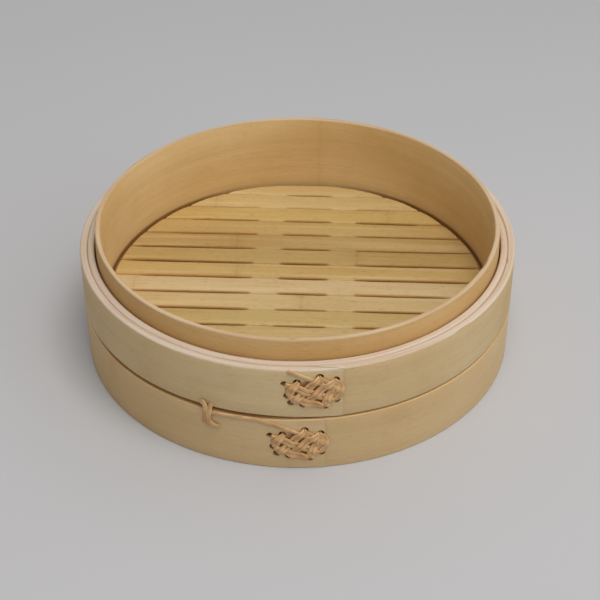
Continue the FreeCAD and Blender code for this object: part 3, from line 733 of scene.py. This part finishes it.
def punch(piece, centre_angle, centre_height, holes, radius):
    """Cuts the lacing's holes through a ply, square to the wall at the lashing's centre."""
    cutter = bmesh.new()
    outwards = Vector((math.cos(centre_angle), math.sin(centre_angle), 0.0))
    right = Vector((-math.sin(centre_angle), math.cos(centre_angle), 0.0))
    lay = Matrix((right, Vector((0, 0, 1)), outwards)).transposed().to_4x4()
    for across, up in holes:
        place = Matrix.Translation(outwards * WALL_RADIUS + right * (HOLE_SPREAD * across * MM)
                                   + Vector((0, 0, centre_height + HOLE_SPREAD * up * MM)))
        bmesh.ops.create_cone(cutter, cap_ends=True, segments=20, radius1=radius, radius2=radius * 1.15,
                              depth=14 * MM, matrix=place @ lay)
    bmesh.ops.recalc_face_normals(cutter, faces=cutter.faces)
    cutter_mesh = bpy.data.meshes.new("punch")
    cutter.to_mesh(cutter_mesh)
    cutter.free()
    tool = bpy.data.objects.new("punch", cutter_mesh)
    bpy.context.scene.collection.objects.link(tool)
    cut = piece.modifiers.new("holes", "BOOLEAN")
    cut.operation = "DIFFERENCE"
    cut.solver = "EXACT"
    cut.object = tool
    piece.data = plain_mesh(piece)
    piece.modifiers.clear()
    bpy.data.objects.remove(tool)


def smooth_line(points, step):
    """Points about step apart on a smooth line through the given ones."""
    ends = [2 * points[0] - points[1]] + list(points) + [2 * points[-1] - points[-2]]
    line = []
    for before, start, end, after in zip(ends, ends[1:], ends[2:], ends[3:]):
        count = max(2, int((end - start).length / step))
        for i in range(count):
            t = i / count
            line.append(0.5 * (2 * start + (end - before) * t
                               + (2 * before - 5 * start + 4 * end - after) * t ** 2
                               + (3 * start - before - 3 * end + after) * t ** 3))
    line.append(points[-1].copy())
    return line


def strand_line(stops):
    """The flat line of a strand, in millimetres, through holes by name and places by number."""
    points = [Vector(HOLES[stop] if isinstance(stop, str) else stop) for stop in stops]
    return smooth_line([p.to_2d() for p in points], 0.45)


def laced_twice(line, heights, spread):
    """Two strands side by side, drawn together where they share a hole."""
    count = len(line) - 1
    apart_in_hole = 0.22
    opening_rate = 3.2
    second_rise = 0.12
    pair = []
    for side in (-1, 1):
        shifted = []
        for i, point in enumerate(line):
            ahead = (line[min(i + 1, count)] - line[max(i - 1, 0)]).normalized()
            apart = min(1.0, apart_in_hole + opening_rate * min(i, count - i) / count)
            shifted.append(point + Vector((-ahead.y, ahead.x)) * (side * spread * apart))
        pair.append((shifted, [h + (second_rise if side > 0 else 0.0) for h in heights]))
    return pair


def heights_over(lines, crossing_rise, rest):
    """How far each strand stands off the wall: falling and rising strands go over and under by turns."""
    falling, rising = lines
    crossing_gap = 1.2
    hump_length = 2.1
    humps = {}
    for i, low_line in enumerate(falling):
        for j, high_line in enumerate(rising):
            gap, a, b = min(((p - q).length, a, b)
                            for a, p in enumerate(low_line) for b, q in enumerate(high_line))
            if gap > crossing_gap:
                continue
            if (i + j) % 2 == 0:
                humps.setdefault(("falling", i), []).append(low_line[a])
            else:
                humps.setdefault(("rising", j), []).append(high_line[b])
    raised = []
    for family, group in (("falling", falling), ("rising", rising)):
        for number, line in enumerate(group):
            tops = humps.get((family, number), [])
            shares = [max([math.exp(-((p - top).length / hump_length) ** 2) for top in tops], default=0.0)
                      for p in line]
            raised.append((line, [rest + crossing_rise * share for share in shares]))
    return raised


def on_wall(across, up, off, centre_angle, centre_height):
    """A point of the lashing, given in millimetres, bent to the wall."""
    radius = WALL_RADIUS + off * MM
    angle = centre_angle + across * MM / WALL_RADIUS
    return Vector((radius * math.cos(angle), radius * math.sin(angle), centre_height + up * MM))


def cane_path(name, line, heights, starts_in_hole, ends_in_hole, centre_angle, centre_height):
    """A strand's line in space with the way it faces, bent into its holes at the ends."""
    turn_radius = 1.0
    off_wall = 0.55
    depth = 3.4
    steps = 6

    def dive(end, inner):
        """A quarter turn from the surface into a hole."""
        way = (end - inner).normalized()
        found = []
        for k in range(1, steps + 1):
            a = k / steps * math.pi / 2
            short = turn_radius * (math.sin(a) - 1)
            found.append((end.x + way.x * short, end.y + way.y * short,
                          off_wall - turn_radius * (1 - math.cos(a))))
        found.append((found[-1][0], found[-1][1], off_wall - depth))
        return found

    def trim(spots, end):
        """The spots that lie clear of the turn into the hole."""
        return [s for s in spots if (Vector(s[:2]) - end).length > turn_radius + 0.05]

    whole = [(point.x, point.y, off) for point, off in zip(line, heights)]
    if ends_in_hole:
        whole = trim(whole, line[-1]) + dive(line[-1], line[-6])
    if starts_in_hole:
        whole = list(reversed(dive(line[0], line[5]))) + trim(whole, line[0])
    places = [on_wall(*spot, centre_angle, centre_height) for spot in whole]
    facings = []
    side = None
    for i, place in enumerate(places):
        ahead = (places[min(i + 1, len(places) - 1)] - places[max(i - 1, 0)]).normalized()
        outwards = Vector((place.x, place.y, 0)).normalized()
        flat = ahead.cross(outwards)
        # Where the strand points into the wall its side can't be read from the wall, so it's kept.
        if flat.length > 0.5 or side is None:
            side = flat.normalized() if flat.length > 0.05 else Vector((0, 0, 1))
        facings.append(side.cross(ahead).normalized())
    if starts_in_hole:
        # The part in the hole faces the way the strand does where it comes out on the wall.
        first_flat = next(i for i, spot in enumerate(whole) if spot[2] > 0.2)
        for i in range(first_flat + 1):
            place, ahead = places[i], (places[i + 1] - places[max(i - 1, 0)]).normalized()
            level = (places[first_flat + 2] - places[first_flat + 1]).normalized()
            outwards = Vector((place.x, place.y, 0)).normalized()
            facings[i] = level.cross(outwards).normalized().cross(ahead).normalized()
    mesh = bpy.data.meshes.new(name)
    mesh.from_pydata(places, [(i, i + 1) for i in range(len(places) - 1)], [])
    attribute = mesh.attributes.new("facing", "FLOAT_VECTOR", "POINT")
    attribute.data.foreach_set("vector", [c for facing in facings for c in facing])
    return mesh


def join(name, pieces):
    """Several meshes as one object."""
    mesh = bmesh.new()
    for piece in pieces:
        mesh.from_mesh(piece.data)
    whole = bpy.data.meshes.new(name)
    mesh.to_mesh(whole)
    mesh.free()
    for material in pieces[0].data.materials:
        whole.materials.append(material)
    joined = bpy.data.objects.new(name, whole)
    bpy.context.scene.collection.objects.link(joined)
    for piece in pieces:
        bpy.data.objects.remove(piece)
    return joined


# ---------------------------------------------------------------- settings


class SteamerHoopSettings(bpy.types.PropertyGroup):
    """The tall inner hoop."""
    ply: FloatProperty(name="Hoop ply", description="How thick the hoop's strip is", default=3.45 * MM,
                       unit="LENGTH")
    rounding: FloatProperty(name="Edge rounding", description="Radius of the sanded edges", default=0.9 * MM,
                            unit="LENGTH")
    wobble: FloatProperty(name="Edge wobble", description="How far the hand-cut edge wanders", default=0.5 * MM,
                          unit="LENGTH")
    scarf: FloatProperty(name="Scarf place", description="Where the ends meet, round from +X",
                         default=math.radians(-10), subtype="ANGLE")


class SteamerBandSettings(bpy.types.PropertyGroup):
    """The two stacked bands of two plies each."""
    rounding: FloatProperty(name="Edge rounding", description="Radius of the bands' edges", default=1.1 * MM,
                            unit="LENGTH")
    wobble: FloatProperty(name="Edge wobble", description="How far the bands' edges wander", default=0.45 * MM,
                          unit="LENGTH")
    seam_open: FloatProperty(name="Seam opening", description="How much wider the seam is on its open side",
                             default=0.8 * MM, unit="LENGTH")
    hole_radius: FloatProperty(name="Lacing hole radius", description="Radius of the punched holes",
                               default=1.9 * MM, unit="LENGTH")
    end_lift: FloatProperty(name="End lift", description="How far the outer ply's end stands proud",
                            default=0.3 * MM, unit="LENGTH")
    stations: IntProperty(name="Stations", description="Steps round each strip", default=360, min=48)


class SteamerFloorSettings(bpy.types.PropertyGroup):
    """The slatted floor."""
    radius: FloatProperty(name="Floor radius", description="Radius that the floor is cut to",
                          default=111.7 * MM, unit="LENGTH")
    turn: FloatProperty(name="Floor turn", description="How the slats lie to the front",
                        default=math.radians(-3), subtype="ANGLE")
    pitch: FloatProperty(name="Slat pitch", description="Distance from one joint to the next",
                         default=15.686 * MM, unit="LENGTH")
    first_joint: FloatProperty(name="First joint", description="How far the back joint is from the middle",
                               default=99.15 * MM, unit="LENGTH")
    joint: FloatProperty(name="Joint", description="Gap where slats touch over a bar", default=0.16 * MM,
                         unit="LENGTH")
    bar_left: FloatProperty(name="Left bar", description="Place of the left crossbar", default=-20.2 * MM,
                            unit="LENGTH")
    bar_right: FloatProperty(name="Right bar", description="Place of the right crossbar", default=26.0 * MM,
                             unit="LENGTH")
    bar_width: FloatProperty(name="Bar width", description="Width of a crossbar", default=15 * MM,
                             unit="LENGTH")


class SteamerCaneSettings(bpy.types.PropertyGroup):
    """The cane lashings."""
    width: FloatProperty(name="Cane width", description="Width of the cane strip", default=2.4 * MM,
                         unit="LENGTH")
    thickness: FloatProperty(name="Cane thickness", description="Thickness of the cane strip",
                             default=0.95 * MM, unit="LENGTH")
    rise: FloatProperty(name="Crossing rise", description="How far a strand lifts to pass over another, in mm",
                        default=1.05)
    upper_turn: FloatProperty(name="Upper lashing", description="Where the upper lashing is, round from +X",
                              default=math.radians(-86.75), subtype="ANGLE")
    upper_height: FloatProperty(name="Upper height", description="Height of the upper lashing's centre",
                                default=53.5 * MM, unit="LENGTH")
    lower_turn: FloatProperty(name="Lower lashing", description="Where the lower lashing is, round from +X",
                              default=math.radians(-90.3), subtype="ANGLE")
    lower_height: FloatProperty(name="Lower height", description="Height of the lower lashing's centre",
                                default=17.2 * MM, unit="LENGTH")


class SteamerStageSettings(bpy.types.PropertyGroup):
    """Paper, lights and camera."""
    paper: FloatVectorProperty(name="Paper", description="Colour of the paper", default=paint(188, 187, 188),
                               subtype="COLOR", size=3)
    key: FloatProperty(name="Key light", description="Power of the large soft light, in watts", default=16.5)
    fill: FloatProperty(name="Fill light", description="Strength of the light from all round", default=0.52)
    lens: FloatProperty(name="Lens", description="Focal length in millimetres on a 36 mm sensor", default=84.05)


# ---------------------------------------------------------------- operators


def strip(name, tree, material, **values):
    """One bent strip, from the shared tree."""
    given = {"Rounding": 0.8 * MM, "Scarf Slant": SCARF_SLANT, "Scarf Gap": 0.0016, "End Lift": 0.0,
             "Edge Wobble": 0.3 * MM, "Bend Wobble": 0.35 * MM, "Top Dip": 0.0, "Foot Lift": 0.0,
             "Step Height": 1.0, "Step": 0.0, "Stations": 360, "Seed": 1.0, "Material": material}
    given.update({label.replace("_", " ").title(): value for label, value in values.items()})
    piece = grow(name, tree, given)
    face_outwards(piece)
    return piece


def shared_tree(name, maker):
    """The geometry tree of that name, made once."""
    return bpy.data.node_groups.get(name) or maker()


class STEAMER_OT_hoop(bpy.types.Operator):
    """Make the tall inner hoop"""
    bl_idname = "steamer.make_hoop"
    bl_label = "Inner hoop"

    def execute(self, context):
        hoop = context.scene.steamer_hoop
        tree = shared_tree("Bent strip", bent_strip_tree)
        wood = strip_bamboo("hoop bamboo", paint(222, 192, 139), paint(209, 172, 113), paint(140, 96, 48),
                            math.degrees(hoop.scarf) + 90, 3.0,
                            rim=(HOOP_TOP, paint(205, 178, 142), paint(191, 158, 116)),
                            node_places=((-0.194, 0.14), (0.02, 0.15), (0.27, 0.1)),
                            # The last tint is the brown line painted where the floor meets the hoop: steam
                            # staining and painted shade of the gap.
                            inside=(HOOP_RADIUS - hoop.ply, (0.88, 0.79, 0.69), (0.50, 0.34, 0.20)))
        piece = strip("inner_hoop_strip", tree, wood, middle_radius=HOOP_RADIUS - hoop.ply / 2, ply=hoop.ply,
                      bottom=HOOP_FOOT, top=HOOP_TOP, rounding=hoop.rounding, scarf_angle=hoop.scarf,
                      edge_wobble=hoop.wobble, step_height=WALL_TOP, step=0.6 * MM, seed=4.0)
        settle(piece, "hoop_bamboo", "inner_hoop")
        return {"FINISHED"}


class STEAMER_OT_bands(bpy.types.Operator):
    """Make the two stacked bands that stand round the hoop"""
    bl_idname = "steamer.make_bands"
    bl_label = "Outer bands"

    def execute(self, context):
        band = context.scene.steamer_band
        cane = context.scene.steamer_cane
        tree = shared_tree("Bent strip", bent_strip_tree)
        # The brown tint round the lashings: water-stained wood, and painted shade between the strands.
        stain_and_shade = (0.44, 0.28, 0.16)
        band_rim = (WALL_TOP, paint(209, 191, 172), paint(199, 175, 149))
        pale, warm, dark = paint(212, 187, 143), paint(202, 172, 123), paint(150, 112, 66)
        low_pale, low_warm = paint(212, 184, 140), paint(202, 170, 120)
        # Each outer ply's end shows just right of its lashing's centre.
        upper_end = cane.upper_turn + 6.5 * MM / WALL_RADIUS
        lower_end = cane.lower_turn + 5.0 * MM / WALL_RADIUS
        middle = WALL_RADIUS - PLY / 2
        # The end's thin outer edge lies further round than the middle of its scarf.
        feather = PLY / 2 / math.tan(SCARF_SLANT) / WALL_RADIUS
        wood = strip_bamboo("upper outer bamboo", pale, warm, dark,
                            math.degrees(upper_end + feather) + 90, 11.0,
                            rim=band_rim, node_places=((0.11, 0.12), (-0.12, 0.15)),
                            stain_and_shade=((cane.upper_turn, cane.upper_height, 14 * MM, 9.5 * MM, stain_and_shade),),
                            seam_shade=SEAM_HEIGHT)
        piece = strip("upper_outer_strip", tree, wood, middle_radius=middle, ply=PLY, bottom=SEAM_HEIGHT,
                      top=WALL_TOP, rounding=band.rounding, scarf_angle=upper_end, end_lift=band.end_lift,
                      edge_wobble=band.wobble, foot_lift=band.seam_open, seed=12.0, stations=band.stations)
        punch(piece, cane.upper_turn, cane.upper_height, list(HOLES.values()), band.hole_radius)
        face_outwards(piece)
        settle(piece, "band_bamboo", "upper_outer_ply")

        # The lower band's outer ply stops a little below the upper band's foot, so the seam shows.
        lip = SEAM_HEIGHT - 0.9 * MM
        wood = strip_bamboo("lower outer bamboo", low_pale, low_warm, dark,
                            math.degrees(lower_end + feather) + 90, 17.0,
                            # Its top edge is painted pale: the cut edge's own colour, and a painted highlight
                            # where the rounded edge faces up to the light.
                            rim=(lip, paint(222, 188, 134), paint(206, 164, 106)),
                            node_places=((0.12, 0.14), (-0.06, 0.14)),
                            stain_and_shade=((cane.lower_turn, cane.lower_height, 14 * MM, 9.5 * MM, stain_and_shade),),
                            seam_shade=SEAM_HEIGHT)
        piece = strip("lower_outer_strip", tree, wood, middle_radius=middle, ply=PLY, bottom=0.0,
                      top=lip, rounding=band.rounding * 0.6, scarf_angle=lower_end,
                      end_lift=band.end_lift, edge_wobble=band.wobble, top_dip=band.seam_open, seed=21.0,
                      stations=band.stations)
        punch(piece, cane.lower_turn, cane.lower_height, list(HOLES.values()), band.hole_radius)
        face_outwards(piece)
        settle(piece, "band_bamboo", "lower_outer_ply")

        middle = PLY_RADIUS - PLY / 2
        back = math.radians(90)
        wood = strip_bamboo("upper inner bamboo", pale, warm, dark, 180, 23.0, rim=band_rim, seam_shade=SEAM_HEIGHT)
        piece = strip("upper_inner_strip", tree, wood, middle_radius=middle, ply=PLY - 0.1 * MM,
                      bottom=SEAM_HEIGHT, top=WALL_TOP, rounding=band.rounding, scarf_angle=back,
                      edge_wobble=band.wobble, seed=31.0, stations=band.stations)
        settle(piece, "band_bamboo", "upper_inner_ply")
        return {"FINISHED"}


class STEAMER_OT_floor(bpy.types.Operator):
    """Make the slats of the floor"""
    bl_idname = "steamer.make_floor"
    bl_label = "Slatted floor"

    def execute(self, context):
        floor = context.scene.steamer_floor
        tree = shared_tree("Slat", slat_tree)
        wood = floor_bamboo("slat bamboo", floor.turn, floor.pitch, floor.first_joint,
                            (floor.bar_left, floor.bar_right), floor.bar_width / 2)
        joints = [floor.first_joint - number * floor.pitch for number in range(len(SLOTS))]
        edges = [floor.radius] + joints + [-floor.radius]
        # The floor's rim has no slots.
        closed = (0.0, 0.0, 0.0, 40, 40)
        slots = [closed] + list(SLOTS) + [closed]
        for number in range(len(edges) - 1):
            at_rim = number in (0, len(edges) - 2)
            values = {"Back": edges[number], "Front": edges[number + 1], "Rim Cut": 1.0 if at_rim else 0.0,
                      "Joint": floor.joint, "Top": FLOOR_TOP, "Thickness": FLOOR_TOP - FLOOR_FOOT,
                      "Rounding": 1.3 * MM, "Floor Radius": floor.radius,
                      "Turn": floor.turn, "Bar Left": floor.bar_left, "Bar Right": floor.bar_right,
                      "Bar Half": floor.bar_width / 2, "Stations": 150, "Seed": float(number), "Material": wood}
            for edge, cut in (("Back", slots[number]), ("Front", slots[number + 1])):
                for part, size in zip(SLOT_PARTS, cut):
                    values[f"{edge} {part}"] = size * MM
            node = f"slat_{number + 1:02d}"
            piece = grow(f"{node}_strip", tree, values)
            face_outwards(piece)
            settle(piece, "slat_bamboo", node)
        return {"FINISHED"}


class STEAMER_OT_frame(bpy.types.Operator):
    """Finish the hidden parts that carry the floor: ring, crossbars, pegs and the lower inner ply"""
    bl_idname = "steamer.make_floor_frame"
    bl_label = "Floor frame"

    def execute(self, context):
        floor = context.scene.steamer_floor
        bars = hidden_bamboo("bar bamboo", floor.turn, paint(196, 160, 106), paint(170, 130, 78), 5.0)
        # The ring is painted darker brown: steam staining, and painted shade where it shows at the bottom of
        # the gap between floor and hoop.
        ring = strip_bamboo("ring bamboo", paint(164, 124, 76), paint(142, 102, 58), paint(96, 64, 34),
                            135, 41.0)
        ply = strip_bamboo("lower inner bamboo", paint(208, 180, 132), paint(188, 154, 104),
                           paint(128, 92, 52), 180, 47.0, seam_shade=SEAM_HEIGHT)
        for node, wood in (("crossbar_left", bars), ("crossbar_right", bars), ("floor_ring", ring),
                           ("lower_inner_ply", ply)):
            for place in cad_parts[node].material_slots:
                place.material = wood
        low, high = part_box("ring_pegs")
        inner_end = HOOP_RADIUS - 9.6 * MM
        pegs = grow("ring_of_pegs", peg_tree(), {
            "Count": 6, "Start Radius": inner_end, "End Radius": high.x, "Peg Radius": 1.45 * MM,
            "Height": (low.z + high.z) / 2, "Material": peg_bamboo()})
        face_outwards(pegs)
        settle(pegs, "peg_bamboo", "ring_pegs")
        return {"FINISHED"}


class STEAMER_OT_lashings(bpy.types.Operator):
    """Lace the two bands with cane"""
    bl_idname = "steamer.make_lashings"
    bl_label = "Cane lashings"

    def execute(self, context):
        cane = context.scene.steamer_cane
        tree = shared_tree("Cane strand", cane_tree)
        material = cane_material()
        rest = cane.thickness / MM / 2
        tie_arch = 0.75
        tie_width = cane.width * 1.2
        for label, angle, height, start, tie in (
                ("upper_lashing", cane.upper_turn, cane.upper_height, UPPER_START, ()),
                ("lower_lashing", cane.lower_turn, cane.lower_height, LOWER_START, TIE_STRANDS)):
            falling = [strand_line(stops) for stops in (start, *FALLING_STRANDS)]
            rising = [strand_line(stops) for stops in RISING_STRANDS]
            raised = heights_over((falling, rising), cane.rise, rest)
            strands = []
            for number, (line, heights) in enumerate(raised):
                runs = [(line, heights)] if number == 0 else laced_twice(line, heights, cane.width / MM * 0.5)
                for run, offs in runs:
                    strands.append((cane_path(f"{label}_{number}", run, offs, number != 0, True, angle, height),
                                    cane.width))
            for number, stops in enumerate(tie):
                line = strand_line(stops)
                over = [rest + tie_arch * math.sin(math.pi * i / (len(line) - 1)) for i in range(len(line))]
                strands.append((cane_path(f"{label}_tie_{number}", line, over, False, False, angle, height),
                                tie_width))
            pieces = []
            for number, (path, width) in enumerate(strands):
                pieces.append(grow(f"{label}_strand_{number}", tree, {
                    "Width": width, "Thickness": cane.thickness, "Wobble": 0.3, "Seed": number + 1.0,
                    "Material": material}, path))
            laced = join(f"{label}_cane", pieces)
            face_outwards(laced, 60.0)
            settle(laced, "cane", label)
        return {"FINISHED"}


class STEAMER_OT_stage(bpy.types.Operator):
    """Lay the paper and set the lights and camera"""
    bl_idname = "steamer.make_stage"
    bl_label = "Stage"

    def execute(self, context):
        stage = context.scene.steamer_stage
        scene = context.scene
        mesh = bpy.data.meshes.new("paper")
        paper = bmesh.new()
        bmesh.ops.create_grid(paper, x_segments=8, y_segments=8, size=4.0,
                              matrix=Matrix.Translation((0.0, 0.0, -0.05 * MM)))
        paper.to_mesh(mesh)
        paper.free()
        mesh.materials.append(studio_paper(stage.paper))
        floor = bpy.data.objects.new("paper", mesh)
        scene.collection.objects.link(floor)

        world = bpy.data.worlds.new("studio")
        world.use_nodes = True
        # The room is brighter on the right, as a studio with its windows on that side.
        graph = Graph(world.node_tree)
        world.node_tree.nodes.clear()
        way = graph.node("ShaderNodeTexCoord", {}, output="Generated").parts()[0]
        strength = way.ramp(-0.9, 0.9, stage.fill * 0.6, stage.fill * 1.3)
        sky = graph.node("ShaderNodeBackground", {}, {"Color": (0.98, 0.985, 1.0, 1.0), "Strength": strength})
        graph.node("ShaderNodeOutputWorld", {}, {"Surface": sky})
        scene.world = world
        scene.view_settings.view_transform = "Standard"

        def soft_light(name, place, target, size, power, colour):
            lamp = bpy.data.lights.new(name, "AREA")
            lamp.shape = "SQUARE"
            lamp.size = size
            lamp.energy = power
            lamp.color = colour
            light = bpy.data.objects.new(name, lamp)
            light.location = place
            light.rotation_euler = (Vector(target) - Vector(place)).to_track_quat("-Z", "Y").to_euler()
            scene.collection.objects.link(light)

        soft_light("key", (0.24, -0.50, 1.65), (0, 0, 0.04), 0.9, stage.key, (1.0, 0.98, 0.95))
        soft_light("side", (1.4, -1.0, 0.9), (0, 0, 0.04), 1.0, stage.key * 0.22, (0.82, 0.92, 1.0))

        camera_data = bpy.data.cameras.new("camera")
        camera_data.sensor_width = 36.0
        camera_data.lens = stage.lens
        camera = bpy.data.objects.new("camera", camera_data)
        place = Vector((0.0, -0.6838, 0.5276))
        aim = Vector((0.00132, 0.0, 0.0194)) - place
        camera.location = place
        roll = Matrix.Rotation(math.radians(-0.195), 3, "Z")
        turned = aim.to_track_quat("-Z", "Y").to_matrix() @ roll
        camera.rotation_euler = turned.to_euler()
        scene.collection.objects.link(camera)
        scene.camera = camera
        return {"FINISHED"}


class STEAMER_PT_panel(bpy.types.Panel):
    """Steps that build the steamer tier"""
    bl_idname = "STEAMER_PT_panel"
    bl_label = "Steamer tier"
    bl_space_type = "VIEW_3D"
    bl_region_type = "UI"
    bl_category = "Steamer"

    def draw(self, context):
        for settings, operators in (
                ("steamer_hoop", (STEAMER_OT_hoop,)), ("steamer_band", (STEAMER_OT_bands,)),
                ("steamer_floor", (STEAMER_OT_floor, STEAMER_OT_frame)),
                ("steamer_cane", (STEAMER_OT_lashings,)), ("steamer_stage", (STEAMER_OT_stage,))):
            box = self.layout.box()
            group = getattr(context.scene, settings)
            for name in group.__annotations__:
                box.prop(group, name)
            for operator in operators:
                box.operator(operator.bl_idname)


SETTINGS = (("steamer_hoop", SteamerHoopSettings), ("steamer_band", SteamerBandSettings),
            ("steamer_floor", SteamerFloorSettings), ("steamer_cane", SteamerCaneSettings),
            ("steamer_stage", SteamerStageSettings))
CLASSES = (STEAMER_OT_hoop, STEAMER_OT_bands, STEAMER_OT_floor, STEAMER_OT_frame, STEAMER_OT_lashings,
           STEAMER_OT_stage, STEAMER_PT_panel)


def register():
    for name, group in SETTINGS:
        bpy.utils.register_class(group)
        setattr(bpy.types.Scene, name, PointerProperty(type=group))
    for part in CLASSES:
        bpy.utils.register_class(part)


def unregister():
    for part in reversed(CLASSES):
        bpy.utils.unregister_class(part)
    for name, group in reversed(SETTINGS):
        delattr(bpy.types.Scene, name)
        bpy.utils.unregister_class(group)


def main():
    register()
    bpy.ops.steamer.make_stage()
    bpy.ops.steamer.make_hoop()
    bpy.ops.steamer.make_bands()
    bpy.ops.steamer.make_floor()
    bpy.ops.steamer.make_floor_frame()
    bpy.ops.steamer.make_lashings()


if __name__ == "__main__":
    main()
